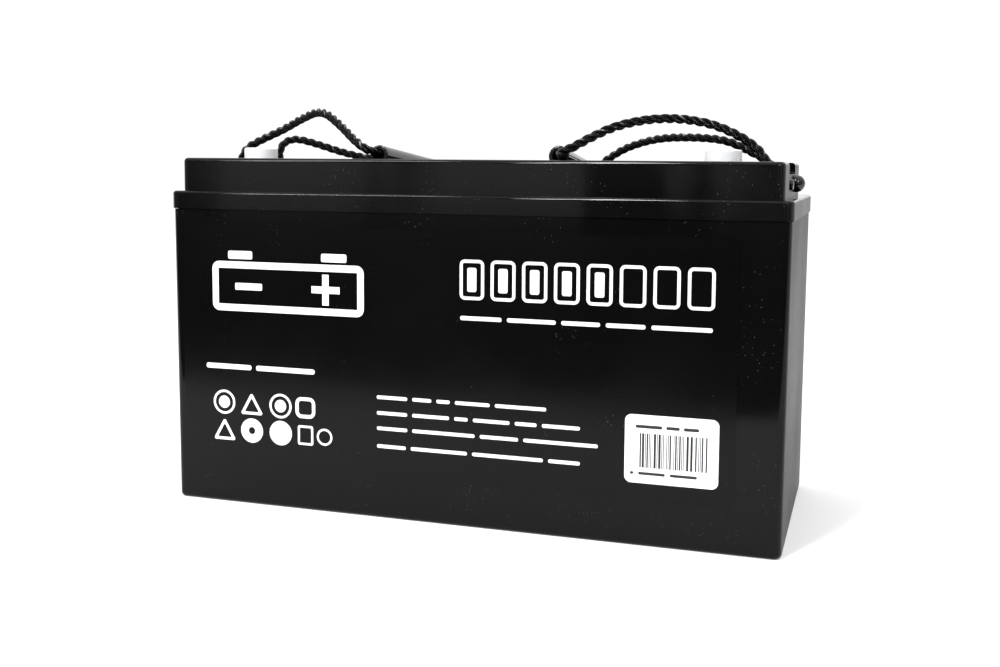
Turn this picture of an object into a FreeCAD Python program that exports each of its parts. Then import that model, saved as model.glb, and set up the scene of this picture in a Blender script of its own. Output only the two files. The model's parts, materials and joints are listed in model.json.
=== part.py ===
import FreeCAD, Part
import math
import os

# Sealed lead-acid deep cycle battery, 12 V, six cells in a row.
# Millimetres. Origin: centre of the base, on the floor. X along the length, front face towards -Y.

V = FreeCAD.Vector

# ---- overall size -------------------------------------------------------------------------
LENGTH = 407.0            # over the lid's flange
WIDTH = 173.0
SEAM_Z = 197.0            # shoulder of the container, just under the flange
FLANGE_Z = 209.0          # top of the flange
DECK_Z = 218.0            # sunken deck inside the lid's rim
RIM_Z = 231.0             # top of the rim round the deck
CORNER_R = 5.0

# ---- container ----------------------------------------------------------------------------
CASE_RECESS = 1.0         # container face behind the flange face, each side
CASE_DRAFT = 1.0          # how much narrower the base is, each side
CASE_WALL = 4.5
BASE_FILLET = 3.0
CELLS = 6
PARTITION = 2.5
TONGUE_Z = 203.0          # top of the container's tongue, inside the lid
TONGUE_INSET = 3.0        # tongue face behind the flange face, each side
TONGUE_DEPTH = 5.0        # how far the tongue reaches down into the wall
TONGUE_R = 3.0
CELL_R = 1.5
FIT_GAP = 0.2
OVERRUN = 1.0             # how far a cutting solid runs past the face it opens

# ---- lid ----------------------------------------------------------------------------------
SKIRT_Z = SEAM_Z + 0.3
SEAT_Z = 204.0            # underside of the flange plate, on the seal
FLANGE_FILLET = 2.0
TIER_HALF_X = 195.1       # raised tier
TIER_HALF_Y = 80.7
TIER_R = 4.5
TIER_FILLET = 2.5
POST_HALF_X = 197.7       # front corners stand a little proud of the end walls
POST_BACK_Y = -45.0
POST_DEPTH = 20.0         # how far the corner posts run into the tier
RIM_WALL = 4.0
RIM_INNER_R = 2.0
DECK_THICK = 3.5
CAVITY_HALF_X = 189.0
CAVITY_HALF_Y = 75.0
NOTCH_HALF_Y = 40.0       # dip in each end wall, where the rope swings over
NOTCH_Z = 223.5
NOTCH_R = 2.0
POCKET_IN_X = 177.0       # rope pocket inside each end wall
POCKET_FLOOR_Z = 211.0
POCKET_WALL = 2.5
POCKET_R = 3.0

# ---- terminals ----------------------------------------------------------------------------
TERMINAL_X = 158.0
TERMINAL_Y = -45.0
TERMINAL_TOP_Z = 236.0
TERMINAL_FLANGE_R = 9.5
TERMINAL_FLANGE_H = 2.5
TERMINAL_BODY_R = 7.5
SHANK_R = 5.0
THREAD_R = 3.4            # M8 thread, minor radius
THREAD_DEPTH = 14.0
CAP_R = 11.2
CAP_WALL = 1.4
CAP_TOP_Z = 238.2
CAP_LIFT = 0.3            # rim of the cap above the deck
CAP_EDGE_R = 1.2
SEAL_DEPTH = 2.0

# ---- valves -------------------------------------------------------------------------------
VALVE_X = (-150.0, -99.6, -33.2, 33.2, 99.6, 150.0)
WELL_R = 8.0
WELL_WALL = 2.0
WELL_FLOOR_Z = 208.5
NOZZLE_R = 4.5
NOZZLE_BORE_R = 1.75
NOZZLE_TOP_Z = 213.0
VALVE_WALL = 1.8
VALVE_TOP = 1.5
VALVE_LIFT = 1.5          # edge of the rubber cap above the well's floor
PAD_R = 6.0
COVER_HALF_X = 165.0
COVER_HALF_Y = 12.0
COVER_THICK = 2.0
COVER_R = 3.0
COVER_EDGE_R = 0.5

# ---- plates and straps --------------------------------------------------------------------
NEG_COUNT = 8
POS_COUNT = 7
NEG_THICK = 2.2
POS_THICK = 3.2
MAT_THICK = 1.4
MAT_MARGIN_Y = 2.0        # mat beyond the plates, each side
MAT_MARGIN_Z = 3.0
PLATE_HALF_Y = 76.0
PLATE_LOW_Z = 7.0
PLATE_TOP_Z = 168.0
LUG_WIDTH = 12.0
STRAP_Z = 182.0
STRAP_TOP_Z = 190.0
STRAP_HALF_Y = 12.0
STRAP_GAP = 1.5           # between a strap and the cell's walls
BRIDGE_THICK = 5.0        # upright of a strap, against the partition
BRIDGE_TOP_Z = 202.0
WELD_Z = 195.0
WELD_R = 5.0

# ---- rope handles -------------------------------------------------------------------------
ROPE_D = 5.0
ROPE_Y = 28.0             # rope holes, each side of the middle
ROPE_HOLE_Z = 217.3
ROPE_HOLE_R = 2.8
PIVOT_X = 184.5
PIVOT_Z = 230.0
STUB_START_X = 197.5      # where the rope's end lies inside its stop
STUB_GAP = 1.6            # room for the loop over the stub's end, when it's folded right out
STUB_TOP_Z = PIVOT_Z - ROPE_D / 2 - STUB_GAP
STUB_ROUTE = [(STUB_START_X, ROPE_HOLE_Z), (191.0, ROPE_HOLE_Z), (185.2, 220.5), (PIVOT_X, STUB_TOP_Z)]
KNOB_R = 5.7
KNOB_X = 196.8
PLUG_R = 3.4
PLUG_TIP_X = 198.9
PLUG_EDGE_R = 1.2
GRIP_R = 6.5
GRIP_BORE_R = 4.2
GRIP_EDGE_R = 1.0
ARC_SHARE = 0.45          # of the shorter run that a rope's bend takes at each end

# Routes of the two loops, from the pivot at the front hole round to the one at the back.
# The grip lies on the run between the points called grip front and grip back.
RIGHT_FRONT = [
    (184.5, -28, 230), (179, -28, 237.5), (166, -28, 247), (146, -31, 255.5),
    (120, -44, 258), (95, -56, 253), (79, -65, 244.5), (68, -69.5, 237.8), (58.8, -68.5, 234.7)]
RIGHT_BACK = [
    (50, 54, 223.8), (54.5, 60.5, 226.5), (64, 59.5, 234), (78, 54, 241.5), (101, 46, 247.5), (127, 38, 248),
    (150, 30.5, 246), (165, 28, 239), (177, 28, 232.8), (184.5, 28, 230)]
LEFT_FRONT = [
    (-184.5, -28, 230), (-181, -28, 237.5), (-168, -28, 244), (-150, -28.5, 251),
    (-132, -35, 258.5), (-111, -46, 264), (-92, -56, 253), (-76, -66, 241.5), (-64, -68.5, 234.7)]
LEFT_BACK = [
    (-64, 54, 223.8), (-70, 60, 224.5), (-82, 60, 226.5), (-99, 54.5, 228.5), (-118, 45, 231.8),
    (-138, 38.5, 236.5), (-157, 33.5, 243), (-173.5, 30, 247), (-183.6, 28, 241.5), (-184.5, 28, 230)]
GRIP_FRONT_Y = -58.0
GRIP_BACK_Y = 42.0

# ---- label --------------------------------------------------------------------------------
LABEL_X = (-194.5, 174.0)
LABEL_Z = (27.5, 187.0)
LABEL_THICK = 0.3
LABEL_R = 4.0
CODE_X = (108.5, 164.5)
CODE_Z = (39.0, 80.5)
CODE_THICK = 0.2


def box(x0, x1, y0, y1, z0, z1):
    return Part.makeBox(x1 - x0, y1 - y0, z1 - z0, V(x0, y0, z0))


def cylinder(radius, x, y, z0, z1):
    return Part.makeCylinder(radius, z1 - z0, V(x, y, z0))


def upright_edges(shape):
    """Straight vertical edges of a box."""
    return [e for e in shape.Edges if abs(e.tangentAt(e.FirstParameter).z) > 0.999]


def edges_at(shape, z):
    return [e for e in shape.Edges if abs(e.BoundBox.ZMin - z) < 1e-4 and abs(e.BoundBox.ZMax - z) < 1e-4]


def rounded_box(x0, x1, y0, y1, z0, z1, corner, top_fillet=0.0):
    shape = box(x0, x1, y0, y1, z0, z1)
    shape = shape.makeFillet(corner, upright_edges(shape))
    if top_fillet:
        shape = shape.makeFillet(top_fillet, edges_at(shape, z1))
    return shape


def centred_box(half_x, half_y, z0, z1, corner, top_fillet=0.0):
    return rounded_box(-half_x, half_x, -half_y, half_y, z0, z1, corner, top_fillet)


def rounded_outline(half_x, half_y, corner, z):
    """Closed wire of a rounded rectangle."""
    face = centred_box(half_x, half_y, z, z + 1.0, corner)
    return Part.Wire(Part.__sortEdges__(edges_at(face, z)))


def group(shapes):
    return Part.makeCompound(shapes)


# ---- cell positions -----------------------------------------------------------------------

INNER_HALF_X = LENGTH / 2 - CASE_RECESS - CASE_WALL
INNER_HALF_Y = WIDTH / 2 - CASE_RECESS - CASE_WALL
CELL_LENGTH = (2 * INNER_HALF_X - (CELLS - 1) * PARTITION) / CELLS


def cell_left(index):
    return -INNER_HALF_X + index * (CELL_LENGTH + PARTITION)


def partition_left(index):
    """Left face of the partition after cell number index."""
    return cell_left(index) + CELL_LENGTH


# ---- container and lid --------------------------------------------------------------------

def container():
    half_x = LENGTH / 2 - CASE_RECESS
    half_y = WIDTH / 2 - CASE_RECESS
    foot = rounded_outline(half_x - CASE_DRAFT, half_y - CASE_DRAFT, CORNER_R, 0.0)
    shoulder = rounded_outline(half_x, half_y, CORNER_R, SEAM_Z)
    body = Part.makeLoft([foot, shoulder], True, True)
    body = body.makeFillet(BASE_FILLET, edges_at(body, 0.0))
    tongue_low = SEAM_Z - TONGUE_DEPTH
    tongue_x = LENGTH / 2 - TONGUE_INSET
    tongue_y = WIDTH / 2 - TONGUE_INSET
    tongue = centred_box(tongue_x, tongue_y, tongue_low, TONGUE_Z, TONGUE_R)
    body = body.fuse(tongue)
    for index in range(CELLS):
        left = cell_left(index)
        right = left + CELL_LENGTH
        top = TONGUE_Z + OVERRUN
        body = body.cut(rounded_box(left, right, -INNER_HALF_Y, INNER_HALF_Y, CASE_WALL, top, CELL_R))
    for index in range(CELLS - 1):
        left = partition_left(index) - OVERRUN
        body = body.cut(weld_cylinder(left, PARTITION + 2 * OVERRUN, index))
    return body.removeSplitter()


def lid_seal():
    """Bead of sealing resin between the container's top edge and the lid, one cell per window."""
    bead = centred_box(LENGTH / 2 - TONGUE_INSET, WIDTH / 2 - TONGUE_INSET, TONGUE_Z, SEAT_Z, TONGUE_R)
    low = TONGUE_Z - OVERRUN
    high = SEAT_Z + OVERRUN
    for index in range(CELLS):
        left = cell_left(index)
        bead = bead.cut(box(left, left + CELL_LENGTH, -INNER_HALF_Y, INNER_HALF_Y, low, high))
    return bead


def lid_outer():
    lid = centred_box(LENGTH / 2, WIDTH / 2, SKIRT_Z, FLANGE_Z, CORNER_R + 1, FLANGE_FILLET)
    tier = centred_box(TIER_HALF_X, TIER_HALF_Y, SEAT_Z, RIM_Z, TIER_R, TIER_FILLET)
    lid = lid.fuse(tier)
    for side in (-1, 1):
        near, far = sorted((side * (TIER_HALF_X - POST_DEPTH), side * POST_HALF_X))
        post = rounded_box(near, far, -TIER_HALF_Y, POST_BACK_Y, SEAT_Z, RIM_Z, TIER_R, TIER_FILLET)
        lid = lid.fuse(post)
    return lid


def lid_cavity():
    """Gas space under the deck, less everything moulded into it."""
    low = SEAT_Z - OVERRUN
    space = box(-CAVITY_HALF_X, CAVITY_HALF_X, -CAVITY_HALF_Y, CAVITY_HALF_Y, low, DECK_Z - DECK_THICK)
    for index in range(CELLS - 1):
        left = partition_left(index)
        space = space.cut(box(left, left + PARTITION, -WIDTH / 2, WIDTH / 2, low - OVERRUN, DECK_Z))
    for x in VALVE_X:
        space = space.cut(cylinder(WELL_R + WELL_WALL, x, 0, WELL_FLOOR_Z - WELL_WALL, DECK_Z))
    for side in (-1, 1):
        low, high = sorted((side * (POCKET_IN_X - POCKET_WALL), side * LENGTH / 2))
        half = NOTCH_HALF_Y + POCKET_WALL
        space = space.cut(box(low, high, -half, half, POCKET_FLOOR_Z - POCKET_WALL, DECK_Z))
        space = space.cut(cylinder(TERMINAL_FLANGE_R, side * TERMINAL_X, TERMINAL_Y, FLANGE_Z, DECK_Z))
    return space


def lid_end_cuts(side):
    """Rope pocket, rope holes and the dip in one end wall."""
    wall_in = TIER_HALF_X - RIM_WALL
    low, high = sorted((side * POCKET_IN_X, side * wall_in))
    top = RIM_Z + OVERRUN
    cuts = [rounded_box(low, high, -NOTCH_HALF_Y, NOTCH_HALF_Y, POCKET_FLOOR_Z, top, POCKET_R)]
    low, high = sorted((side * (wall_in - OVERRUN), side * (POST_HALF_X + OVERRUN)))
    dip = box(low, high, -NOTCH_HALF_Y, NOTCH_HALF_Y, NOTCH_Z, top)
    lower_edges = [e for e in edges_at(dip, NOTCH_Z) if abs(e.tangentAt(e.FirstParameter).x) > 0.999]
    cuts.append(dip.makeFillet(NOTCH_R, lower_edges))
    for y in (-ROPE_Y, ROPE_Y):
        start = V(side * (wall_in - OVERRUN), y, ROPE_HOLE_Z)
        cuts.append(Part.makeCylinder(ROPE_HOLE_R, RIM_WALL + 2 * OVERRUN, start, V(side, 0, 0)))
    return cuts


def lid():
    shape = lid_outer().cut(lid_cavity())
    skirt_inside_x = LENGTH / 2 - TONGUE_INSET + FIT_GAP
    skirt_inside_y = WIDTH / 2 - TONGUE_INSET + FIT_GAP
    socket = centred_box(skirt_inside_x, skirt_inside_y, SKIRT_Z - OVERRUN, SEAT_Z, TONGUE_R)
    rim_inside_x = TIER_HALF_X - RIM_WALL
    rim_inside_y = TIER_HALF_Y - RIM_WALL
    rim_inside = centred_box(rim_inside_x, rim_inside_y, DECK_Z, RIM_Z + OVERRUN, RIM_INNER_R)
    cover_low = DECK_Z - COVER_THICK
    above = DECK_Z + OVERRUN
    cover_seat = centred_box(COVER_HALF_X + FIT_GAP, COVER_HALF_Y + FIT_GAP, cover_low, above, COVER_R)
    cuts = [socket, rim_inside, cover_seat]
    for side in (-1, 1):
        cuts += lid_end_cuts(side)
        x = side * TERMINAL_X
        cuts.append(cylinder(SHANK_R + FIT_GAP, x, TERMINAL_Y, FLANGE_Z - OVERRUN, above))
        cuts.append(cylinder(TERMINAL_BODY_R, x, TERMINAL_Y, DECK_Z - SEAL_DEPTH, above))
    for x in VALVE_X:
        well = cylinder(WELL_R, x, 0, WELL_FLOOR_Z, DECK_Z)
        cuts.append(well.cut(cylinder(NOZZLE_R, x, 0, WELL_FLOOR_Z - OVERRUN, NOZZLE_TOP_Z)))
        cuts.append(cylinder(NOZZLE_BORE_R, x, 0, SEAT_Z, DECK_Z))
    for cutter in cuts:
        shape = shape.cut(cutter)
    return shape.removeSplitter()


# ---- vents --------------------------------------------------------------------------------

def vent_cover():
    low = DECK_Z - COVER_THICK
    return centred_box(COVER_HALF_X, COVER_HALF_Y, low, DECK_Z, COVER_R, COVER_EDGE_R)


def relief_valves():
    """Rubber caps stretched over the six vent nozzles."""
    caps = []
    for x in VALVE_X:
        cap = cylinder(NOZZLE_R + VALVE_WALL, x, 0, WELL_FLOOR_Z + VALVE_LIFT, NOZZLE_TOP_Z + VALVE_TOP)
        caps.append(cap.cut(cylinder(NOZZLE_R, x, 0, WELL_FLOOR_Z, NOZZLE_TOP_Z)))
    return group(caps)


def valve_pads():
    """Foam discs that the cover presses on the rubber caps."""
    low = NOZZLE_TOP_Z + VALVE_TOP
    return group([cylinder(PAD_R, x, 0, low, DECK_Z - COVER_THICK) for x in VALVE_X])


# ---- plates and straps --------------------------------------------------------------------

def positive_y(index):
    """Side on which a cell's positive lugs stand: it alternates along the row."""
    return TERMINAL_Y if index % 2 == 0 else -TERMINAL_Y


def stack_positions(index):
    """Left faces of the negative plates, positive plates and mats of one cell."""
    total = NEG_COUNT * NEG_THICK + POS_COUNT * POS_THICK + 2 * POS_COUNT * MAT_THICK
    x = cell_left(index) + (CELL_LENGTH - total) / 2
    negatives, positives, mats = [], [], []
    for number in range(POS_COUNT):
        negatives.append(x)
        mats.append(x + NEG_THICK)
        positives.append(mats[-1] + MAT_THICK)
        mats.append(positives[-1] + POS_THICK)
        x = mats[-1] + MAT_THICK
    negatives.append(x)
    return negatives, positives, mats


def plate(x, thickness, lug_y):
    body = box(x, x + thickness, -PLATE_HALF_Y, PLATE_HALF_Y, PLATE_LOW_Z, PLATE_TOP_Z)
    lug = box(x, x + thickness, lug_y - LUG_WIDTH / 2, lug_y + LUG_WIDTH / 2, PLATE_TOP_Z - OVERRUN, STRAP_Z)
    return body.fuse(lug).removeSplitter()


def cell_plates(index):
    negatives, positives, mats = stack_positions(index)
    lug_y = positive_y(index)
    positive = group([plate(x, POS_THICK, lug_y) for x in positives])
    negative = group([plate(x, NEG_THICK, -lug_y) for x in negatives])
    half_y = PLATE_HALF_Y + MAT_MARGIN_Y
    top = PLATE_TOP_Z + MAT_MARGIN_Z
    separators = group([box(x, x + MAT_THICK, -half_y, half_y, CASE_WALL, top) for x in mats])
    return positive, negative, separators


def strap(index, y, neighbour):
    """Bar across one cell's lugs; neighbour is -1, 0 or 1: the side it is welded through to."""
    left = cell_left(index)
    right = left + CELL_LENGTH
    low = left + STRAP_GAP
    high = right - STRAP_GAP
    bar = box(low, high, y - STRAP_HALF_Y, y + STRAP_HALF_Y, STRAP_Z, STRAP_TOP_Z)
    if neighbour:
        low = left if neighbour < 0 else right - BRIDGE_THICK
        upright = box(low, low + BRIDGE_THICK, y - STRAP_HALF_Y, y + STRAP_HALF_Y, STRAP_Z, BRIDGE_TOP_Z)
        bar = bar.fuse(upright).removeSplitter()
    return bar


def positive_strap(index):
    return strap(index, positive_y(index), -1 if index > 0 else 0)


def negative_strap(index):
    return strap(index, -positive_y(index), 1 if index < CELLS - 1 else 0)


def weld_cylinder(x, length, index):
    centre = V(x, -positive_y(index), WELD_Z)
    return Part.makeCylinder(WELD_R, length, centre, V(1, 0, 0))


def intercell_welds():
    return group([weld_cylinder(partition_left(i), PARTITION, i) for i in range(CELLS - 1)])


# ---- terminals ----------------------------------------------------------------------------

def terminal(side):
    x = side * TERMINAL_X
    shape = cylinder(SHANK_R, x, TERMINAL_Y, STRAP_TOP_Z, DECK_Z + OVERRUN)
    shape = shape.fuse(cylinder(TERMINAL_FLANGE_R, x, TERMINAL_Y, DECK_Z, DECK_Z + TERMINAL_FLANGE_H))
    shape = shape.fuse(cylinder(TERMINAL_BODY_R, x, TERMINAL_Y, DECK_Z, TERMINAL_TOP_Z))
    bore_low = TERMINAL_TOP_Z - THREAD_DEPTH
    shape = shape.cut(cylinder(THREAD_R, x, TERMINAL_Y, bore_low, TERMINAL_TOP_Z + OVERRUN))
    return shape.removeSplitter()


def terminal_seals():
    rings = []
    low = DECK_Z - SEAL_DEPTH
    for side in (-1, 1):
        x = side * TERMINAL_X
        ring = cylinder(TERMINAL_BODY_R, x, TERMINAL_Y, low, DECK_Z)
        rings.append(ring.cut(cylinder(SHANK_R, x, TERMINAL_Y, low - OVERRUN, DECK_Z + OVERRUN)))
    return group(rings)


def terminal_cap(side):
    x = side * TERMINAL_X
    cap = cylinder(CAP_R, x, TERMINAL_Y, DECK_Z + CAP_LIFT, CAP_TOP_Z)
    cap = cap.makeFillet(CAP_EDGE_R, edges_at(cap, CAP_TOP_Z))
    return cap.cut(cylinder(CAP_R - CAP_WALL, x, TERMINAL_Y, DECK_Z, CAP_TOP_Z - CAP_WALL))


# ---- rope handles -------------------------------------------------------------------------

def rope_path(points):
    """Straight runs joined by tangent arcs; returns the wire and the arcs' radii."""
    points = [V(*p) for p in points]
    edges = []
    radii = []
    start = points[0]
    for before, corner, after in zip(points, points[1:], points[2:]):
        tangent = ARC_SHARE * min((corner - before).Length, (after - corner).Length)
        into = (corner - before).normalize()
        out = (after - corner).normalize()
        turn = into.getAngle(out)
        radius = tangent / math.tan(turn / 2)
        first = corner - into * tangent
        last = corner + out * tangent
        bisector = (out - into).normalize()
        middle = corner + bisector * (radius / math.cos(turn / 2) - radius)
        edges.append(Part.LineSegment(start, first).toShape())
        edges.append(Part.Arc(first, middle, last).toShape())
        radii.append(radius)
        start = last
    edges.append(Part.LineSegment(start, points[-1]).toShape())
    return Part.Wire(edges), radii


def rope(name, points):
    wire, radii = rope_path(points)
    heading = V(*points[1]) - V(*points[0])
    section = Part.Wire(Part.makeCircle(ROPE_D / 2, V(*points[0]), heading))
    tube = wire.makePipeShell([section], True, False)
    expected = math.pi * ROPE_D ** 2 / 4 * wire.Length
    print(name, "length", round(wire.Length, 1), "volume ratio", round(tube.Volume / expected, 4))
    print(name, "radii", [round(r, 1) for r in radii])
    return tube


def rope_stub(side, y):
    """Short end of the rope: from its stop, through the end wall and up out of the pocket."""
    return rope("rope end", [(side * x, y, z) for x, z in STUB_ROUTE])


def rope_ends(side):
    return group([rope_stub(side, y) for y in (-ROPE_Y, ROPE_Y)])


def rope_knobs():
    """Round stops on the back rope ends, flat side on the end wall."""
    flat_angle = math.degrees(math.asin((TIER_HALF_X - KNOB_X) / KNOB_R))
    knobs = []
    for side in (-1, 1):
        outward = V(side, 0, 0)
        centre = V(side * KNOB_X, ROPE_Y, ROPE_HOLE_Z)
        ball = Part.makeSphere(KNOB_R, centre, outward, flat_angle, 90, 360)
        seat = V(side * TIER_HALF_X, ROPE_Y, ROPE_HOLE_Z)
        knobs.append(ball.cut(Part.makeCylinder(ROPE_D / 2, STUB_START_X - TIER_HALF_X, seat, outward)))
    return group(knobs)


def rope_plugs():
    """Small stops on the front rope ends."""
    plugs = []
    for side in (-1, 1):
        start = V(side * TIER_HALF_X, -ROPE_Y, ROPE_HOLE_Z)
        outward = V(side, 0, 0)
        plug = Part.makeCylinder(PLUG_R, PLUG_TIP_X - TIER_HALF_X, start, outward)
        tip = [e for e in plug.Edges if abs(abs(e.BoundBox.Center.x) - PLUG_TIP_X) < 0.01]
        plug = plug.makeFillet(PLUG_EDGE_R, tip)
        plugs.append(plug.cut(Part.makeCylinder(ROPE_D / 2, STUB_START_X - TIER_HALF_X, start, outward)))
    return group(plugs)


def grip(front, back):
    """Smooth tube round the far run of the loop."""
    front = V(*front)
    axis = V(*back) - front
    slope = axis * (1 / axis.y)
    start = front + slope * (GRIP_FRONT_Y - front.y)
    end = front + slope * (GRIP_BACK_Y - front.y)
    length = (end - start).Length
    tube = Part.makeCylinder(GRIP_R, length, start, axis)
    tube = tube.makeFillet(GRIP_EDGE_R, [e for e in tube.Edges if e.Curve.TypeId == "Part::GeomCircle"])
    bore_start = start - axis * (OVERRUN / axis.Length)
    bore = Part.makeCylinder(GRIP_BORE_R, length + 2 * OVERRUN, bore_start, axis)
    print("grip from", start, "to", end, "axis", axis * (1 / axis.Length))
    return tube.cut(bore)


# ---- label --------------------------------------------------------------------------------

def film(x_range, z_range, behind, thickness):
    """Thin sheet on the sloping front face, lifted off it by what lies behind."""
    sheet = box(x_range[0], x_range[1], -behind - thickness, -behind, z_range[0], z_range[1])
    corners = [e for e in sheet.Edges if abs(e.tangentAt(e.FirstParameter).y) > 0.999]
    sheet = sheet.makeFillet(LABEL_R, corners)
    half_y = WIDTH / 2 - CASE_RECESS - CASE_DRAFT
    sheet.rotate(V(0, 0, 0), V(1, 0, 0), math.degrees(math.atan(CASE_DRAFT / SEAM_Z)))
    sheet.translate(V(0, -half_y, 0))
    return sheet


# ---- parts --------------------------------------------------------------------------------

def battery_parts():
    parts = {
        "container": container(),
        "lid": lid(),
        "lid_seal": lid_seal(),
        "vent_cover": vent_cover(),
        "relief_valves": relief_valves(),
        "valve_pads": valve_pads(),
        "intercell_welds": intercell_welds(),
        "terminal_seals": terminal_seals(),
        "rope_knobs": rope_knobs(),
        "rope_plugs": rope_plugs(),
        "front_label": film(LABEL_X, LABEL_Z, 0.0, LABEL_THICK),
        "code_label": film(CODE_X, CODE_Z, LABEL_THICK, CODE_THICK),
    }
    for index in range(CELLS):
        number = index + 1
        positive, negative, separators = cell_plates(index)
        parts[f"positive_plates_{number}"] = positive
        parts[f"negative_plates_{number}"] = negative
        parts[f"separators_{number}"] = separators
        parts[f"positive_strap_{number}"] = positive_strap(index)
        parts[f"negative_strap_{number}"] = negative_strap(index)
    sides = (("left", -1, LEFT_FRONT, LEFT_BACK), ("right", 1, RIGHT_FRONT, RIGHT_BACK))
    for name, side, front, back in sides:
        parts[f"terminal_{name}"] = terminal(side)
        parts[f"terminal_cap_{name}"] = terminal_cap(side)
        parts[f"rope_ends_{name}"] = rope_ends(side)
        parts[f"rope_loop_{name}"] = rope(f"{name} loop", front + back)
        parts[f"grip_{name}"] = grip(front[-1], back[0])
    return parts


os.makedirs("parts", exist_ok=True)
for node, shape in battery_parts().items():
    assert shape.isValid(), node
    shape.exportStep(f"parts/{node}.step")
    print(node, len(shape.Solids), "solids", round(shape.Volume / 1000, 2), "cm3")
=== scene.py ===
import json
import math
import random

import bmesh
import bpy
import numpy as np
from mathutils import Euler, Matrix, Vector


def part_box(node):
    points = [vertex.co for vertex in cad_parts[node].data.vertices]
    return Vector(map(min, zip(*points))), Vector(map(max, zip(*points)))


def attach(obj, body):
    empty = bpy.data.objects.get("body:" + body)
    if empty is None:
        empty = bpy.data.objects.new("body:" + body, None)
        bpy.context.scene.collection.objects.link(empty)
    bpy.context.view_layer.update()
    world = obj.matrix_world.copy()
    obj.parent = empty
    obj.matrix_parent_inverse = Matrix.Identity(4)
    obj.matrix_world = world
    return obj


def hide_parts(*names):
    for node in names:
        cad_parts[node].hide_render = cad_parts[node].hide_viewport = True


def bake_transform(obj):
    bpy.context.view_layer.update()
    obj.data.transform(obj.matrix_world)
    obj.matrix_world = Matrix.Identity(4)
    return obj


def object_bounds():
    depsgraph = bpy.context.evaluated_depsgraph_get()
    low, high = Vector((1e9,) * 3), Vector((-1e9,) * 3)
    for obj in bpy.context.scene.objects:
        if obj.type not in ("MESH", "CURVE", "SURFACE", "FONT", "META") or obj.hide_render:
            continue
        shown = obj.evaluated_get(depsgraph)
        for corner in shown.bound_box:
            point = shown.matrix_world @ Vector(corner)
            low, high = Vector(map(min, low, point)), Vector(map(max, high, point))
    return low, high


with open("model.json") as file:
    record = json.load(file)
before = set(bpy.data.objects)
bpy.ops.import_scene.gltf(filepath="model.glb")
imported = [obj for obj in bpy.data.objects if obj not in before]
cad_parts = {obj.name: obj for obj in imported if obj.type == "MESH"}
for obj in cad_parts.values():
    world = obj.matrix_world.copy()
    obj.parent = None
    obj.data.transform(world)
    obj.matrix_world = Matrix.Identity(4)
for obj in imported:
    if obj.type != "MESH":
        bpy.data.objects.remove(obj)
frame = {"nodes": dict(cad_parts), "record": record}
cad_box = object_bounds()
nodes = frame["nodes"]
SCENE = bpy.context.scene
MM = 0.001
WHITE = (1, 1, 1, 1)


# ---- camera, floor and lights -------------------------------------------------------------

CAMERA_AT = (0.247, -0.750, 0.2274)
CAMERA_YAW = math.radians(17.55)
CAMERA_PITCH = math.radians(4.77)
CAMERA_ROLL = math.radians(0.49)
CAMERA_LENS = 41.3
CAMERA_SHIFT = (-0.012, -0.072)


def link(obj):
    SCENE.collection.objects.link(obj)
    return obj


def add_camera():
    data = bpy.data.cameras.new("camera")
    data.sensor_width = 36.0
    data.lens = CAMERA_LENS
    data.shift_x, data.shift_y = CAMERA_SHIFT
    data.clip_start = 0.02
    camera = link(bpy.data.objects.new("camera", data))
    turn = Matrix.Rotation(CAMERA_YAW, 4, "Z")
    tilt = Matrix.Rotation(math.pi / 2 - CAMERA_PITCH, 4, "X")
    roll = Matrix.Rotation(CAMERA_ROLL, 4, "Z")
    camera.matrix_world = Matrix.Translation(CAMERA_AT) @ turn @ tilt @ roll
    SCENE.camera = camera


def area_light(name, at, look_at, size, power):
    data = bpy.data.lights.new(name, "AREA")
    data.shape = "RECTANGLE"
    data.size, data.size_y = size
    data.energy = power
    light = link(bpy.data.objects.new(name, data))
    direction = Vector(look_at) - Vector(at)
    turn = direction.to_track_quat("-Z", "Y").to_matrix().to_4x4()
    light.matrix_world = Matrix.Translation(at) @ turn


CEILING_STRENGTH = 1.2
CEILING_SPREAD = math.radians(100)
CEILING_TILT = Euler((math.radians(10), math.radians(8), 0))
STRIP_Y = -1.0
STRIP_Z = 1.15
STRIP_HEIGHT = 0.9
# Name, place along X, width and power of each upright strip light.
STRIPS = (("strip_left", -0.75, 0.07, 9),
          ("strip_middle", -0.27, 0.07, 9),
          ("strip_right", -0.18, 0.03, 4))
GLINT_AT = (-0.18, -1.0, 1.35)
GLINT_SIZE = (0.16, 0.16)
GLINT_POWER = 5
FILL_AT = (1.1, -1.5, 1.3)
FILL_SIZE = (0.6, 0.5)
FILL_POWER = 8


def add_lights():
    """Wide soft ceiling, strips that draw bright slivers on the lid's edge, a glint and a fill."""
    data = bpy.data.lights.new("ceiling", "SUN")
    data.energy = CEILING_STRENGTH
    data.angle = CEILING_SPREAD
    ceiling = link(bpy.data.objects.new("ceiling", data))
    ceiling.matrix_world = CEILING_TILT.to_matrix().to_4x4()
    edge = (0, cad_box[0][1], 0.2)
    for name, x, width, power in STRIPS:
        area_light(name, (x, STRIP_Y, STRIP_Z), edge, (width, STRIP_HEIGHT), power)
    area_light("glint", GLINT_AT, edge, GLINT_SIZE, GLINT_POWER)
    area_light("fill_right", FILL_AT, edge, FILL_SIZE, FILL_POWER)


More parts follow.
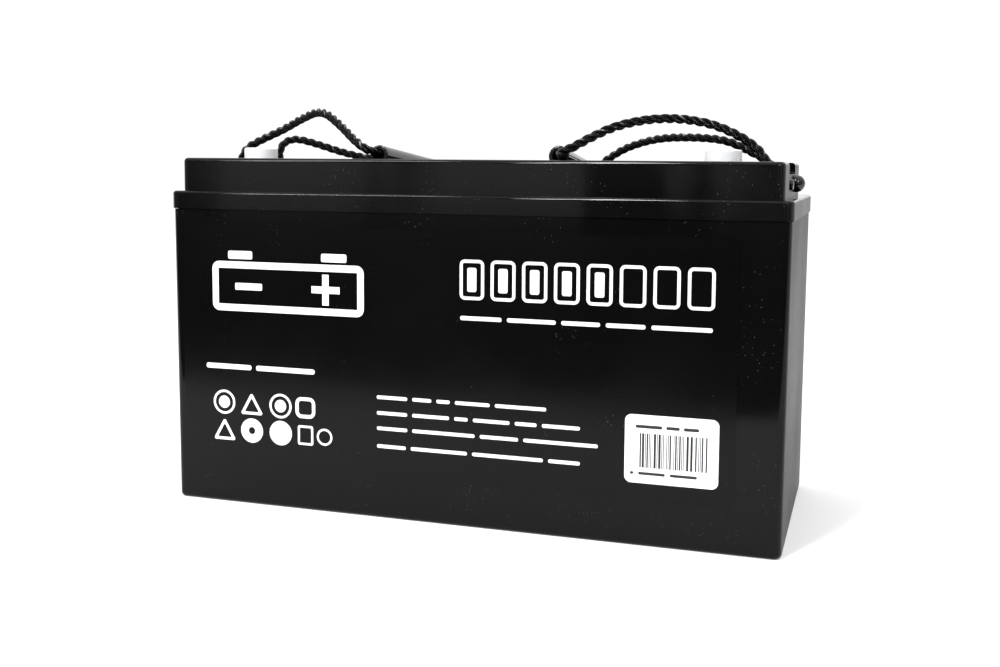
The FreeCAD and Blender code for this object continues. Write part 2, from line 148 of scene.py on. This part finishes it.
class Nodes:
    """Short calls for building a node tree."""

    def __init__(self, tree):
        self.tree = tree

    def feed(self, socket, value):
        if isinstance(value, bpy.types.NodeSocket):
            self.tree.links.new(value, socket)
        else:
            socket.default_value = value

    def node(self, kind, **inputs):
        made = self.tree.nodes.new(kind)
        for name, value in inputs.items():
            self.feed(made.inputs[name.replace("_", " ")], value)
        return made

    def ramp(self, value, low, high, to_low=0.0, to_high=1.0, smooth=False):
        made = self.node("ShaderNodeMapRange", Value=value)
        made.interpolation_type = "SMOOTHSTEP" if smooth else "LINEAR"
        made.inputs["From Min"].default_value = low
        made.inputs["From Max"].default_value = high
        made.inputs["To Min"].default_value = to_low
        made.inputs["To Max"].default_value = to_high
        return made.outputs["Result"]

    def math(self, kind, first, second):
        made = self.tree.nodes.new("ShaderNodeMath")
        made.operation = kind
        self.feed(made.inputs[0], first)
        self.feed(made.inputs[1], second)
        return made.outputs[0]

    def scaled(self, vector, scale):
        mapping = self.node("ShaderNodeMapping", Vector=vector)
        mapping.inputs["Scale"].default_value = scale
        return mapping.outputs[0]


SEEN_WHITE = 1.05         # strength of the backdrop where the camera sees it
ROOM_FLOOR = 0.03         # least light from the camera's side
BAND_SCALE = 13.0
BAND_STRETCH = (1, 1, 0.08)


def add_world():
    """White backdrop behind the object; on the camera's side a dim room with soft upright bands."""
    world = bpy.data.worlds.new("studio")
    world.use_nodes = True
    SCENE.world = world
    world.node_tree.nodes.clear()
    n = Nodes(world.node_tree)
    direction = n.node("ShaderNodeTexCoord").outputs["Generated"]
    split = n.node("ShaderNodeSeparateXYZ", Vector=direction)
    backdrop = n.ramp(split.outputs["Y"], -0.05, 0.35, 0.0, 1.0, smooth=True)
    above = n.ramp(split.outputs["Z"], -0.10, 0.0, 0.0, 1.0, smooth=True)
    upright = n.scaled(direction, BAND_STRETCH)
    noise = n.node("ShaderNodeTexNoise", Vector=upright, Scale=BAND_SCALE, Detail=2.5)
    bands = noise.outputs["Fac"]
    room = n.math("MULTIPLY", above, n.ramp(bands, 0.47, 0.55, 0.07, 0.95, smooth=True))
    strength = n.math("MAXIMUM", backdrop, n.math("ADD", room, ROOM_FLOOR))
    lit = n.node("ShaderNodeBackground", Color=WHITE, Strength=strength)
    seen = n.node("ShaderNodeBackground", Color=WHITE, Strength=SEEN_WHITE)
    mix = n.node("ShaderNodeMixShader")
    n.feed(mix.inputs[0], n.node("ShaderNodeLightPath").outputs["Is Camera Ray"])
    n.feed(mix.inputs[1], lit.outputs[0])
    n.feed(mix.inputs[2], seen.outputs[0])
    out = n.node("ShaderNodeOutputWorld")
    n.feed(out.inputs["Surface"], mix.outputs[0])


FLOOR_FRONT = 0.36        # how far the table reaches in front of the object
FLOOR_HALF = 8.0
FLOOR_GLOW = 0.16


def add_floor():
    """White table: its front edge is just in front of the object, the rest runs far back."""
    front = cad_box[0][1] - FLOOR_FRONT
    corners = [(-FLOOR_HALF, front, 0), (FLOOR_HALF, front, 0),
               (FLOOR_HALF, FLOOR_HALF, 0), (-FLOOR_HALF, FLOOR_HALF, 0)]
    mesh = bpy.data.meshes.new("floor")
    mesh.from_pydata(corners, [], [(0, 1, 2, 3)])
    floor = link(bpy.data.objects.new("floor", mesh))
    material = Material("floor_white")
    material.set(base=(0.9, 0.9, 0.9), rough=0.8, specular=0.1)
    material.shader.inputs["Emission Color"].default_value = WHITE
    material.shader.inputs["Emission Strength"].default_value = FLOOR_GLOW
    mesh.materials.append(material.data)


# ---- node materials -----------------------------------------------------------------------

class Material(Nodes):
    """A Principled material built up from procedural nodes."""

    INPUTS = {"base": "Base Color", "rough": "Roughness", "metallic": "Metallic",
              "specular": "Specular IOR Level", "ior": "IOR",
              "transmission": "Transmission Weight"}

    def __init__(self, name):
        self.data = bpy.data.materials.new(name)
        self.data.use_nodes = True
        super().__init__(self.data.node_tree)
        self.shader = self.tree.nodes["Principled BSDF"]
        self.coords = self.tree.nodes.new("ShaderNodeTexCoord").outputs["Object"]
        self.normal = None

    def set(self, **values):
        for name, value in values.items():
            if isinstance(value, tuple):
                value = (*value, 1.0)
            self.feed(self.shader.inputs[self.INPUTS[name]], value)

    def noise(self, scale, detail=3.0, stretch=(1, 1, 1)):
        vector = self.scaled(self.coords, stretch)
        made = self.node("ShaderNodeTexNoise", Vector=vector, Scale=scale, Detail=detail)
        return made.outputs["Fac"]

    def specks(self, scale, size, density=0.5):
        """Small round spots where a coarser noise lets them be; value 1 inside a spot."""
        cells = self.node("ShaderNodeTexVoronoi", Vector=self.coords, Scale=scale)
        spots = self.ramp(cells.outputs["Distance"], size * 0.6, size, 1.0, 0.0)
        return self.math("MULTIPLY", spots, self.ramp(self.noise(35, 2), density, density + 0.1))

    def mix(self, factor, first, second):
        """Colour between first and second."""
        made = self.tree.nodes.new("ShaderNodeMix")
        made.data_type = "RGBA"
        self.feed(made.inputs["Factor"], factor)
        for socket, colour in ((made.inputs[6], first), (made.inputs[7], second)):
            linked = isinstance(colour, bpy.types.NodeSocket)
            self.feed(socket, colour if linked else (*colour, 1.0))
        return made.outputs[2]

    def bump(self, height, depth):
        made = self.node("ShaderNodeBump", Height=height, Distance=depth, Strength=1.0)
        if self.normal:
            self.tree.links.new(self.normal, made.inputs["Normal"])
        self.normal = made.outputs["Normal"]
        self.tree.links.new(self.normal, self.shader.inputs["Normal"])


def shade(colour, factor):
    """The colour times the factor."""
    return tuple(c * factor for c in colour)


def black_plastic(name, base, rough, wave, dust=0.5, specular=0.25, dull_ends=0.0):
    """Glossy moulded plastic: slight waves in the wall, fine orange peel, rubbed patches and dust.

    dull_ends is how much rougher the walls are that face along X.
    """
    m = Material(name)
    patches = m.noise(9, 4)
    rubbed = m.ramp(patches, 0.4, 0.75, rough, rough + 0.07)
    roughness = m.math("ADD", rubbed, m.ramp(m.noise(160), 0.4, 0.8, 0, 0.03))
    if dull_ends:
        facing = m.tree.nodes.new("ShaderNodeTexCoord").outputs["Normal"]
        split = m.node("ShaderNodeSeparateXYZ", Vector=facing)
        along = m.math("ABSOLUTE", split.outputs["X"], 0)
        roughness = m.math("ADD", roughness, m.ramp(along, 0.8, 1.0, 0.0, dull_ends))
    specks = m.math("MULTIPLY", m.specks(420, 0.10), dust)
    tint = m.mix(m.ramp(patches, 0.3, 0.75), base, shade(base, 1.7))
    m.set(base=m.mix(specks, tint, (0.22, 0.22, 0.22)), rough=roughness, specular=specular)
    m.bump(m.noise(7, 1, (2.2, 2.2, 0.35)), wave)
    m.bump(m.noise(420, 2), 0.000004)
    return m


def plain_black(name, base, rough):
    m = Material(name)
    tint = m.mix(m.noise(60, 3), base, shade(base, 2))
    m.set(base=tint, rough=m.ramp(m.noise(90, 3), 0.3, 0.7, rough, rough + 0.12))
    m.bump(m.noise(700, 2), 0.00001)
    return m


def label_film():
    m = Material("label_film")
    patches = m.noise(14, 4)
    dust = m.math("MULTIPLY", m.specks(360, 0.09, 0.56), 0.5)
    m.set(base=m.mix(dust, (0.0022, 0.0020, 0.0021), (0.3, 0.3, 0.3)),
          rough=m.ramp(patches, 0.3, 0.7, 0.13, 0.22), specular=0.13)
    m.bump(m.noise(6, 1, (2, 2, 0.5)), 0.0006)
    m.bump(m.noise(900, 2), 0.000005)
    return m


YARN_SLANT = math.radians(33)


def rope_material():
    """Shiny black yarn, laid slanting on each strand, with painted glints: light grey streaks in the base
    colour along the upward-facing crowns.
    """
    m = Material("rope_cord")
    uv = m.node("ShaderNodeUVMap").outputs["UV"]
    mapping = m.node("ShaderNodeMapping", Vector=uv)
    mapping.inputs["Rotation"].default_value = (0, 0, YARN_SLANT)
    yarn = m.node("ShaderNodeTexWave", Vector=mapping.outputs[0], Scale=5.5, Distortion=1.2,
                  Detail=2.0)
    yarn.inputs["Detail Scale"].default_value = 2.0
    groove = yarn.outputs["Fac"]
    # Painted glints: the base colour turns light grey in short streaks on the upward-facing crown of each
    # strand, standing in for reflections of the lights above.
    across = m.node("ShaderNodeSeparateXYZ", Vector=uv).outputs["Y"]
    within_strand = m.math("FRACT", m.math("ADD", across, 0.5), 0)
    off_crown = m.math("ABSOLUTE", m.math("SUBTRACT", within_strand, 0.5), 0)
    crown = m.ramp(off_crown, 0.04, 0.17, 1.0, 0.0)
    along_yarn = m.scaled(uv, (0.45, 2.2, 1))
    streaks = m.node("ShaderNodeTexNoise", Vector=along_yarn, Scale=1.0, Detail=2.0).outputs["Fac"]
    facing = m.tree.nodes.new("ShaderNodeTexCoord").outputs["Normal"]
    upward = m.ramp(m.node("ShaderNodeSeparateXYZ", Vector=facing).outputs["Z"], -0.1, 0.5)
    upper_crown_glint_mask = m.math("MULTIPLY", crown, upward)
    painted_glints = m.math("MULTIPLY", upper_crown_glint_mask, m.ramp(streaks, 0.52, 0.62))
    # Painted shade: the yarn black is darker where the bump is low, in the grooves between the yarns.
    yarn_black_groove_shaded = m.mix(groove, (0.0006, 0.0006, 0.0006), (0.002, 0.002, 0.0021))
    m.set(base=m.mix(painted_glints, yarn_black_groove_shaded, (0.42, 0.42, 0.43)),
          rough=m.ramp(groove, 0.0, 1.0, 0.16, 0.05), specular=0.24)
    m.bump(groove, 0.00012)
    return m


def printed(name, dark, light, rough, scale):
    """Ink or coated paper, a little uneven in colour and gloss."""
    m = Material(name)
    m.set(base=m.mix(m.noise(scale, 4), dark, light),
          rough=m.ramp(m.noise(70, 2), 0.3, 0.7, rough, rough + 0.13))
    m.bump(m.noise(1300, 3), 0.000005)
    return m


def cap_plastic():
    """Milky see-through plastic."""
    m = Material("cap_plastic")
    cloud = m.noise(90, 3)
    m.set(base=m.mix(cloud, (0.93, 0.94, 0.96), (0.98, 0.98, 0.99)),
          rough=m.ramp(cloud, 0.3, 0.7, 0.18, 0.30), transmission=0.22, ior=1.45)
    m.bump(m.noise(240, 2), 0.00002)
    return m


def metal(name, base, rough):
    m = Material(name)
    grain = m.noise(300, 4)
    m.set(base=m.mix(grain, shade(base, 0.75), base),
          rough=m.ramp(grain, 0.3, 0.7, rough, rough + 0.2), metallic=1.0)
    m.bump(grain, 0.00003)
    return m


def powdery(name, base, scale=250, depth=0.00008):
    m = Material(name)
    grain = m.noise(scale, 5)
    m.set(base=m.mix(grain, shade(base, 0.6), base), rough=m.ramp(grain, 0.3, 0.7, 0.7, 0.95))
    m.bump(grain, depth)
    return m


MATERIALS = {}


def make_materials():
    MATERIALS.update({
        "case_plastic": black_plastic("case_plastic", (0.0018, 0.0017, 0.0019), 0.05, 0.0011,
                                      specular=0.13, dull_ends=0.34),
        "lid_plastic": black_plastic("lid_plastic", (0.0018, 0.0017, 0.0020), 0.035, 0.0004,
                                     specular=0.22, dull_ends=0.30),
        "sealing_resin": plain_black("sealing_resin", (0.012, 0.012, 0.014), 0.35),
        "vent_plastic": black_plastic("vent_plastic", (0.003, 0.003, 0.0034), 0.16, 0.0002),
        "valve_rubber": plain_black("valve_rubber", (0.012, 0.012, 0.012), 0.6),
        "foam_pad": powdery("foam_pad", (0.1, 0.1, 0.11), 600, 0.0003),
        "lead": metal("lead", (0.38, 0.39, 0.42), 0.4),
        "positive_paste": powdery("positive_paste", (0.10, 0.05, 0.035)),
        "negative_paste": powdery("negative_paste", (0.2, 0.21, 0.23)),
        "glass_mat": powdery("glass_mat", (0.8, 0.8, 0.78), 400, 0.0002),
        "terminal_metal": metal("terminal_metal", (0.72, 0.70, 0.62), 0.22),
        "cap_plastic": cap_plastic(),
        "rope_cord": rope_material(),
        "grip_plastic": black_plastic("grip_plastic", (0.002, 0.002, 0.0022), 0.05, 0.0002,
                                      dust=0.2, specular=0.5),
        "knob_plastic": black_plastic("knob_plastic", (0.002, 0.002, 0.002), 0.08, 0.0001,
                                      dust=0.2, specular=0.5),
        "label_film": label_film(),
        "code_paper": printed("code_paper", (0.84, 0.84, 0.84), (0.92, 0.92, 0.92), 0.42, 200),
        "label_print": printed("label_print", (0.80, 0.80, 0.80), (0.92, 0.92, 0.92), 0.35, 140),
        "code_ink": printed("code_ink", (0.006, 0.006, 0.006), (0.02, 0.02, 0.02), 0.4, 900),
    })
    for row in frame["record"]["subparts"]:
        mesh = nodes[row["node"]].data
        mesh.materials.clear()
        mesh.materials.append(MATERIALS[row["material_slot"]].data)


# ---- rope handles -------------------------------------------------------------------------

ROPE_Y = 28.0
STRANDS = 3
STRAND_OFFSET = 1.55
STRAND_R = 1.43
LAY_LENGTH = 19.0
RING_STEP = 0.8
RING_POINTS = 36
UV_LENGTH = 2.0           # millimetres of rope to one unit of its UV map

# Route of each rope in millimetres, from its front end in the end wall round to its back end.
STUB = [(197.5, 217.3), (191, 217.3), (185.2, 220.5), (184.5, 225.9)]
RIGHT_LOOP = [
    (184.5, -28, 230), (179, -28, 237.5), (166, -28, 247), (146, -31, 255.5),
    (120, -44, 258), (95, -56, 253), (79, -65, 244.5), (68, -69.5, 237.8), (58.8, -68.5, 234.7),
    (50, 54, 223.8), (54.5, 60.5, 226.5), (64, 59.5, 234), (78, 54, 241.5), (101, 46, 247.5), (127, 38, 248),
    (150, 30.5, 246), (165, 28, 239), (177, 28, 232.8), (184.5, 28, 230)]
LEFT_LOOP = [
    (-184.5, -28, 230), (-181, -28, 237.5), (-168, -28, 244), (-150, -28.5, 251),
    (-132, -35, 258.5), (-111, -46, 264), (-92, -56, 253), (-76, -66, 241.5), (-64, -68.5, 234.7),
    (-64, 54, 223.8), (-70, 60, 224.5), (-82, 60, 226.5), (-99, 54.5, 228.5), (-118, 45, 231.8),
    (-138, 38.5, 236.5), (-157, 33.5, 243), (-173.5, 30, 247), (-183.6, 28, 241.5), (-184.5, 28, 230)]


def whole_route(side, loop):
    """Pocket end, loop and pocket end; the loop's own end points lie straight above the pocket ends."""
    front = [(side * x, -ROPE_Y, z) for x, z in STUB]
    back = [(side * x, ROPE_Y, z) for x, z in reversed(STUB)]
    return [Vector(p) * MM for p in front + loop[1:-1] + back]


def smooth_line(name, points):
    """Points read off one NURBS spline that has the route as its control points."""
    curve = bpy.data.curves.new(name, "CURVE")
    curve.dimensions = "3D"
    curve.resolution_u = 24
    spline = curve.splines.new("NURBS")
    spline.points.add(len(points) - 1)
    for point, place in zip(spline.points, points):
        point.co = (*place, 1.0)
    spline.order_u = 3
    spline.use_endpoint_u = True
    holder = link(bpy.data.objects.new(name, curve))
    bpy.context.view_layer.update()
    mesh = bpy.data.meshes.new_from_object(holder)
    line = [v.co.copy() for v in mesh.vertices]
    bpy.data.objects.remove(holder)
    bpy.data.meshes.remove(mesh)
    return line


def even_steps(line, step):
    line = np.array(line)
    lengths = np.concatenate([[0], np.cumsum(np.linalg.norm(np.diff(line, axis=0), axis=1))])
    count = int(lengths[-1] / step) + 1
    along = np.linspace(0, lengths[-1], count)
    return np.stack([np.interp(along, lengths, line[:, i]) for i in range(3)], axis=1), along


def strand_profile(angle):
    """Distance from the rope's centre to its surface, for three round strands laid together."""
    gap = 2 * math.pi / STRANDS
    away = (angle + gap / 2) % gap - gap / 2
    reach = STRAND_OFFSET * math.cos(away)
    return (reach + math.sqrt(STRAND_R ** 2 - (STRAND_OFFSET * math.sin(away)) ** 2)) * MM


def twisted_rope(name, line):
    """Mesh of a three-strand rope along the line, with a UV map along and across the strands."""
    centres, along = even_steps(line, RING_STEP * MM)
    mesh = bmesh.new()
    uv_layer = mesh.loops.layers.uv.new("rope")
    tangents = np.gradient(centres, axis=0)
    side = Vector((0, 1, 0)).cross(Vector(tangents[0])).normalized()
    rings = []
    for centre, tangent, distance in zip(centres, tangents, along):
        tangent = Vector(tangent).normalized()
        side = (side - tangent * side.dot(tangent)).normalized()
        other = tangent.cross(side)
        twist = 2 * math.pi * distance / (LAY_LENGTH * MM)
        ring = []
        for number in range(RING_POINTS):
            angle = 2 * math.pi * number / RING_POINTS
            reach = strand_profile(angle)
            outward = side * math.cos(angle + twist) + other * math.sin(angle + twist)
            ring.append(mesh.verts.new(Vector(centre) + outward * reach))
        rings.append(ring)
    for row, (ring, after) in enumerate(zip(rings, rings[1:])):
        for number in range(RING_POINTS):
            nxt = (number + 1) % RING_POINTS
            face = mesh.faces.new((ring[number], ring[nxt], after[nxt], after[number]))
            face.smooth = True
            corners = ((row, number), (row, number + 1), (row + 1, number + 1), (row + 1, number))
            for loop, (step, column) in zip(face.loops, corners):
                loop[uv_layer].uv = (step * RING_STEP / UV_LENGTH, column * STRANDS / RING_POINTS)
    mesh.faces.new(list(reversed(rings[0])))
    mesh.faces.new(rings[-1])
    data = bpy.data.meshes.new(name)
    mesh.to_mesh(data)
    mesh.free()
    data.materials.append(MATERIALS["rope_cord"].data)
    return link(bpy.data.objects.new(name, data)), centres


def add_rope(name, side, loop):
    route = whole_route(side, loop)
    line = smooth_line(name, route)
    rope, centres = twisted_rope(f"{name}_rope", line)
    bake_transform(rope)
    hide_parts(f"rope_loop_{name}", f"rope_ends_{name}")


# ---- label artwork ------------------------------------------------------------------------

# All sizes on the label are millimetres along it and up it, from the middle of the object's base.
FACE_LEAN = 1 / 197.0     # how far the front face comes forward per unit of height
PRINT_LIFT = 0.04
ARC_STEPS = 6


def rounded(corners, radius):
    """Outline through the corners, each rounded off by an arc."""
    outline = []
    count = len(corners)
    for index, corner in enumerate(corners):
        here = Vector(corner)
        before = (Vector(corners[index - 1]) - here).normalized()
        after = (Vector(corners[(index + 1) % count]) - here).normalized()
        half = before.angle(after) / 2
        centre = here + (before + after).normalized() * (radius / math.sin(half))
        first = here + before * (radius / math.tan(half)) - centre
        sweep = first.angle_signed(here + after * (radius / math.tan(half)) - centre)
        for step in range(ARC_STEPS + 1):
            outline.append(centre + Matrix.Rotation(-sweep * step / ARC_STEPS, 2) @ first)
    return outline


def rect(x0, x1, z0, z1, radius=0.6):
    return rounded([(x0, z0), (x1, z0), (x1, z1), (x0, z1)], radius)


def circle(x, z, radius):
    return [Vector((x + radius * math.cos(a), z + radius * math.sin(a)))
            for a in np.linspace(0, 2 * math.pi, 40, endpoint=False)]


def triangle(x, z, radius, corner=1.2):
    angles = [math.radians(a) for a in (90, 210, 330)]
    return rounded([(x + radius * math.cos(a), z + radius * math.sin(a)) for a in angles], corner)


def frame_of(x0, x1, z0, z1, radius, line):
    """Outer and inner outline of a rounded box drawn as a line."""
    inner = rect(x0 + line, x1 - line, z0 + line, z1 - line, max(radius - line, 0.4))
    return [rect(x0, x1, z0, z1, radius), inner]


def bars(x, z, lengths, height, gap):
    """A row of plain bars, standing in for a line of words."""
    outlines = []
    for length in lengths:
        outlines.append(rect(x, x + length, z - height / 2, z + height / 2, height * 0.45))
        x += length + gap
    return outlines


def plus(x, z, arm, line):
    h = line / 2
    return [Vector(p) for p in (
        (x - arm, z - h), (x - h, z - h), (x - h, z - arm), (x + h, z - arm),
        (x + h, z - h), (x + arm, z - h), (x + arm, z + h), (x + h, z + h),
        (x + h, z + arm), (x - h, z + arm), (x - h, z + h), (x - arm, z + h))]


def battery_sign():
    """Outline of a battery with its two posts, a minus and a plus."""
    line = 4.6
    left, right, low, high = -172.0, -62.0, 130.0, 163.0
    shapes = frame_of(left, right, low, high, 5.0, line)
    post_width = 18
    post_inset = 12
    for x in (left + post_inset, right - post_inset - post_width):
        shapes.append(rect(x, x + post_width, high + 1.6, high + 7.0, 1.2))
    middle = (low + high) / 2
    shapes.append(rect(left + 17, left + 37, middle - line / 2, middle + line / 2, 0.8))
    shapes.append(plus(right - 27, middle, 10, line))
    return shapes


GAUGE_CELLS = 8
GAUGE_FILLED = 5
GAUGE_X = 3.0
GAUGE_STEP = 20.2


def charge_gauge():
    """Cells in a row, the first ones filled."""
    shapes = []
    for number in range(GAUGE_CELLS):
        x = GAUGE_X + number * GAUGE_STEP
        shapes += frame_of(x, x + 16.0, 144.5, 169.5, 3.4, 2.0)
        if number < GAUGE_FILLED:
            shapes.append(rect(x + 5.0, x + 11.0, 149.5, 164.5, 1.2))
    return shapes


def round_and_pointed_signs():
    """Two rows of small plain signs: rings, discs, triangles and squares."""
    shapes = []
    columns = (-164.4, -143.8, -122.4, -104.2)
    for x in (columns[0], columns[2]):
        shapes += [circle(x, 68.3, 8.2), circle(x, 68.3, 6.6), circle(x, 68.3, 4.2)]
    shapes += [triangle(columns[1], 66.0, 10.0), triangle(columns[1], 66.0, 6.2, 0.6)]
    shapes += frame_of(columns[3] - 7.2, columns[3] + 7.2, 61.4, 75.4, 4.4, 2.4)
    shapes += [triangle(columns[0], 47.6, 10.0), triangle(columns[0], 47.6, 6.2, 0.6)]
    shapes += [circle(columns[1], 50.2, 8.2), circle(columns[1], 50.2, 2.4)]
    shapes += [circle(columns[2], 50.2, 8.2)]
    shapes += frame_of(columns[3] - 5.6, columns[3] + 5.6, 43.6, 56.6, 1.4, 1.5)
    shapes += [circle(-90.4, 50.0, 5.6), circle(-90.4, 50.0, 4.2)]
    return shapes


def white_art():
    shapes = battery_sign() + charge_gauge() + round_and_pointed_signs()
    shapes += bars(3.4, 133.0, (27, 31, 24, 24, 36), 2.6, 3.5)
    shapes += bars(-177.6, 92.5, (34, 43), 3.4, 3.4)
    lines = ((79.2, (21, 13, 9, 23, 33)),
             (69.0, (21, 25, 9, 24, 14, 24)),
             (59.0, (21, 42, 25, 47)),
             (47.4, (20, 38, 46, 20)))
    for z, lengths in lines:
        shapes += bars(-53.2, z, lengths, 2.3, 3.4)
    return shapes


CODE_LEFT = 117.6
CODE_RIGHT = 157.0


def black_art():
    """Bar code without figures, with plain bars above and below it."""
    draw = random.Random(7)
    shapes = bars(115.0, 73.4, (16, 8, 9), 1.9, 2.4)
    x = CODE_LEFT
    while x < CODE_RIGHT:
        width = draw.choice((0.45, 0.45, 0.9, 1.35))
        shapes.append(rect(x, x + width, 48.6, 69.4, 0.1))
        x += width + draw.choice((0.5, 0.5, 1.0, 1.5))
    shapes += bars(112.0, 45.0, (2, 16, 16), 1.7, 3.0)
    return shapes


def print_on(name, node, shapes, material):
    """Thin ink on the face of a label's node, cut out as the outlines say."""
    low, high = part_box(node)
    curve = bpy.data.curves.new(name, "CURVE")
    curve.dimensions = "2D"
    curve.fill_mode = "BOTH"
    curve.extrude = PRINT_LIFT / 2 * MM
    for outline in shapes:
        spline = curve.splines.new("POLY")
        spline.points.add(len(outline) - 1)
        for point, place in zip(spline.points, outline):
            point.co = (place[0] * MM, place[1] * MM, 0, 1)
        spline.use_cyclic_u = True
    holder = link(bpy.data.objects.new(name + "_outline", curve))
    bpy.context.view_layer.update()
    mesh = bpy.data.meshes.new_from_object(holder)
    bpy.data.objects.remove(holder)
    face_at_base = low[1] + high[2] * FACE_LEAN
    mesh.transform(Matrix.Translation((0, face_at_base - PRINT_LIFT * MM, 0))
                   @ Matrix.Rotation(math.pi / 2 + math.atan(FACE_LEAN), 4, "X"))
    mesh.materials.clear()
    mesh.materials.append(MATERIALS[material].data)
    art = link(bpy.data.objects.new(name, mesh))
    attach(art, "root")


# ---- build --------------------------------------------------------------------------------

SCENE.view_settings.view_transform = "Standard"
add_camera()
make_materials()
add_rope("right", 1, RIGHT_LOOP)
add_rope("left", -1, LEFT_LOOP)
add_world()
add_floor()
add_lights()
print_on("label_art", "front_label", white_art(), "label_print")
print_on("code_art", "code_label", black_art(), "code_ink")
